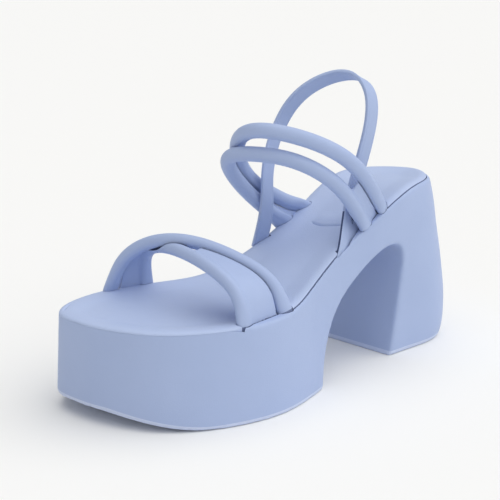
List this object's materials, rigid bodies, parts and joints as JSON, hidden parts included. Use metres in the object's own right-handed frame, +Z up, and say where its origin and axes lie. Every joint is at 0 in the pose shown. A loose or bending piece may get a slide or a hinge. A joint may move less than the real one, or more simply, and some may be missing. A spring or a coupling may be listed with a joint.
{
  "type": "block-heel platform sandal",
  "caption": "Slip-on platform sandal with a block heel, an arch cut under the waist, padded tube straps over toes and instep, and a flat band round the heel.",
  "frame": {"origin": "centre of the sandal's bounding box seen from above, on the floor that the sole stands on", "axes": "+Z up, the toe points to -Y, the heel is at +Y, and the outer side of the left foot is at +X"},
  "size_m": [0.105, 0.2329, 0.1532],
  "materials": {
    "sole_cover": "smooth matt faux leather, periwinkle blue",
    "insole_cover": "smooth matt faux leather over padding",
    "strap_cover": "soft padded faux leather, periwinkle blue",
    "heel_band": "flat faux leather band, periwinkle blue",
    "tread_rubber": "matt moulded rubber, a shade lighter"
  },
  "bodies": {
    "root": {"sole_unit": "sole_cover", "outsole_forefoot": "tread_rubber", "heel_tip": "tread_rubber", "insole": "insole_cover", "toe_strap": "strap_cover", "instep_strap": "strap_cover", "sling_strap": "heel_band"}
  },
  "joints": []
}
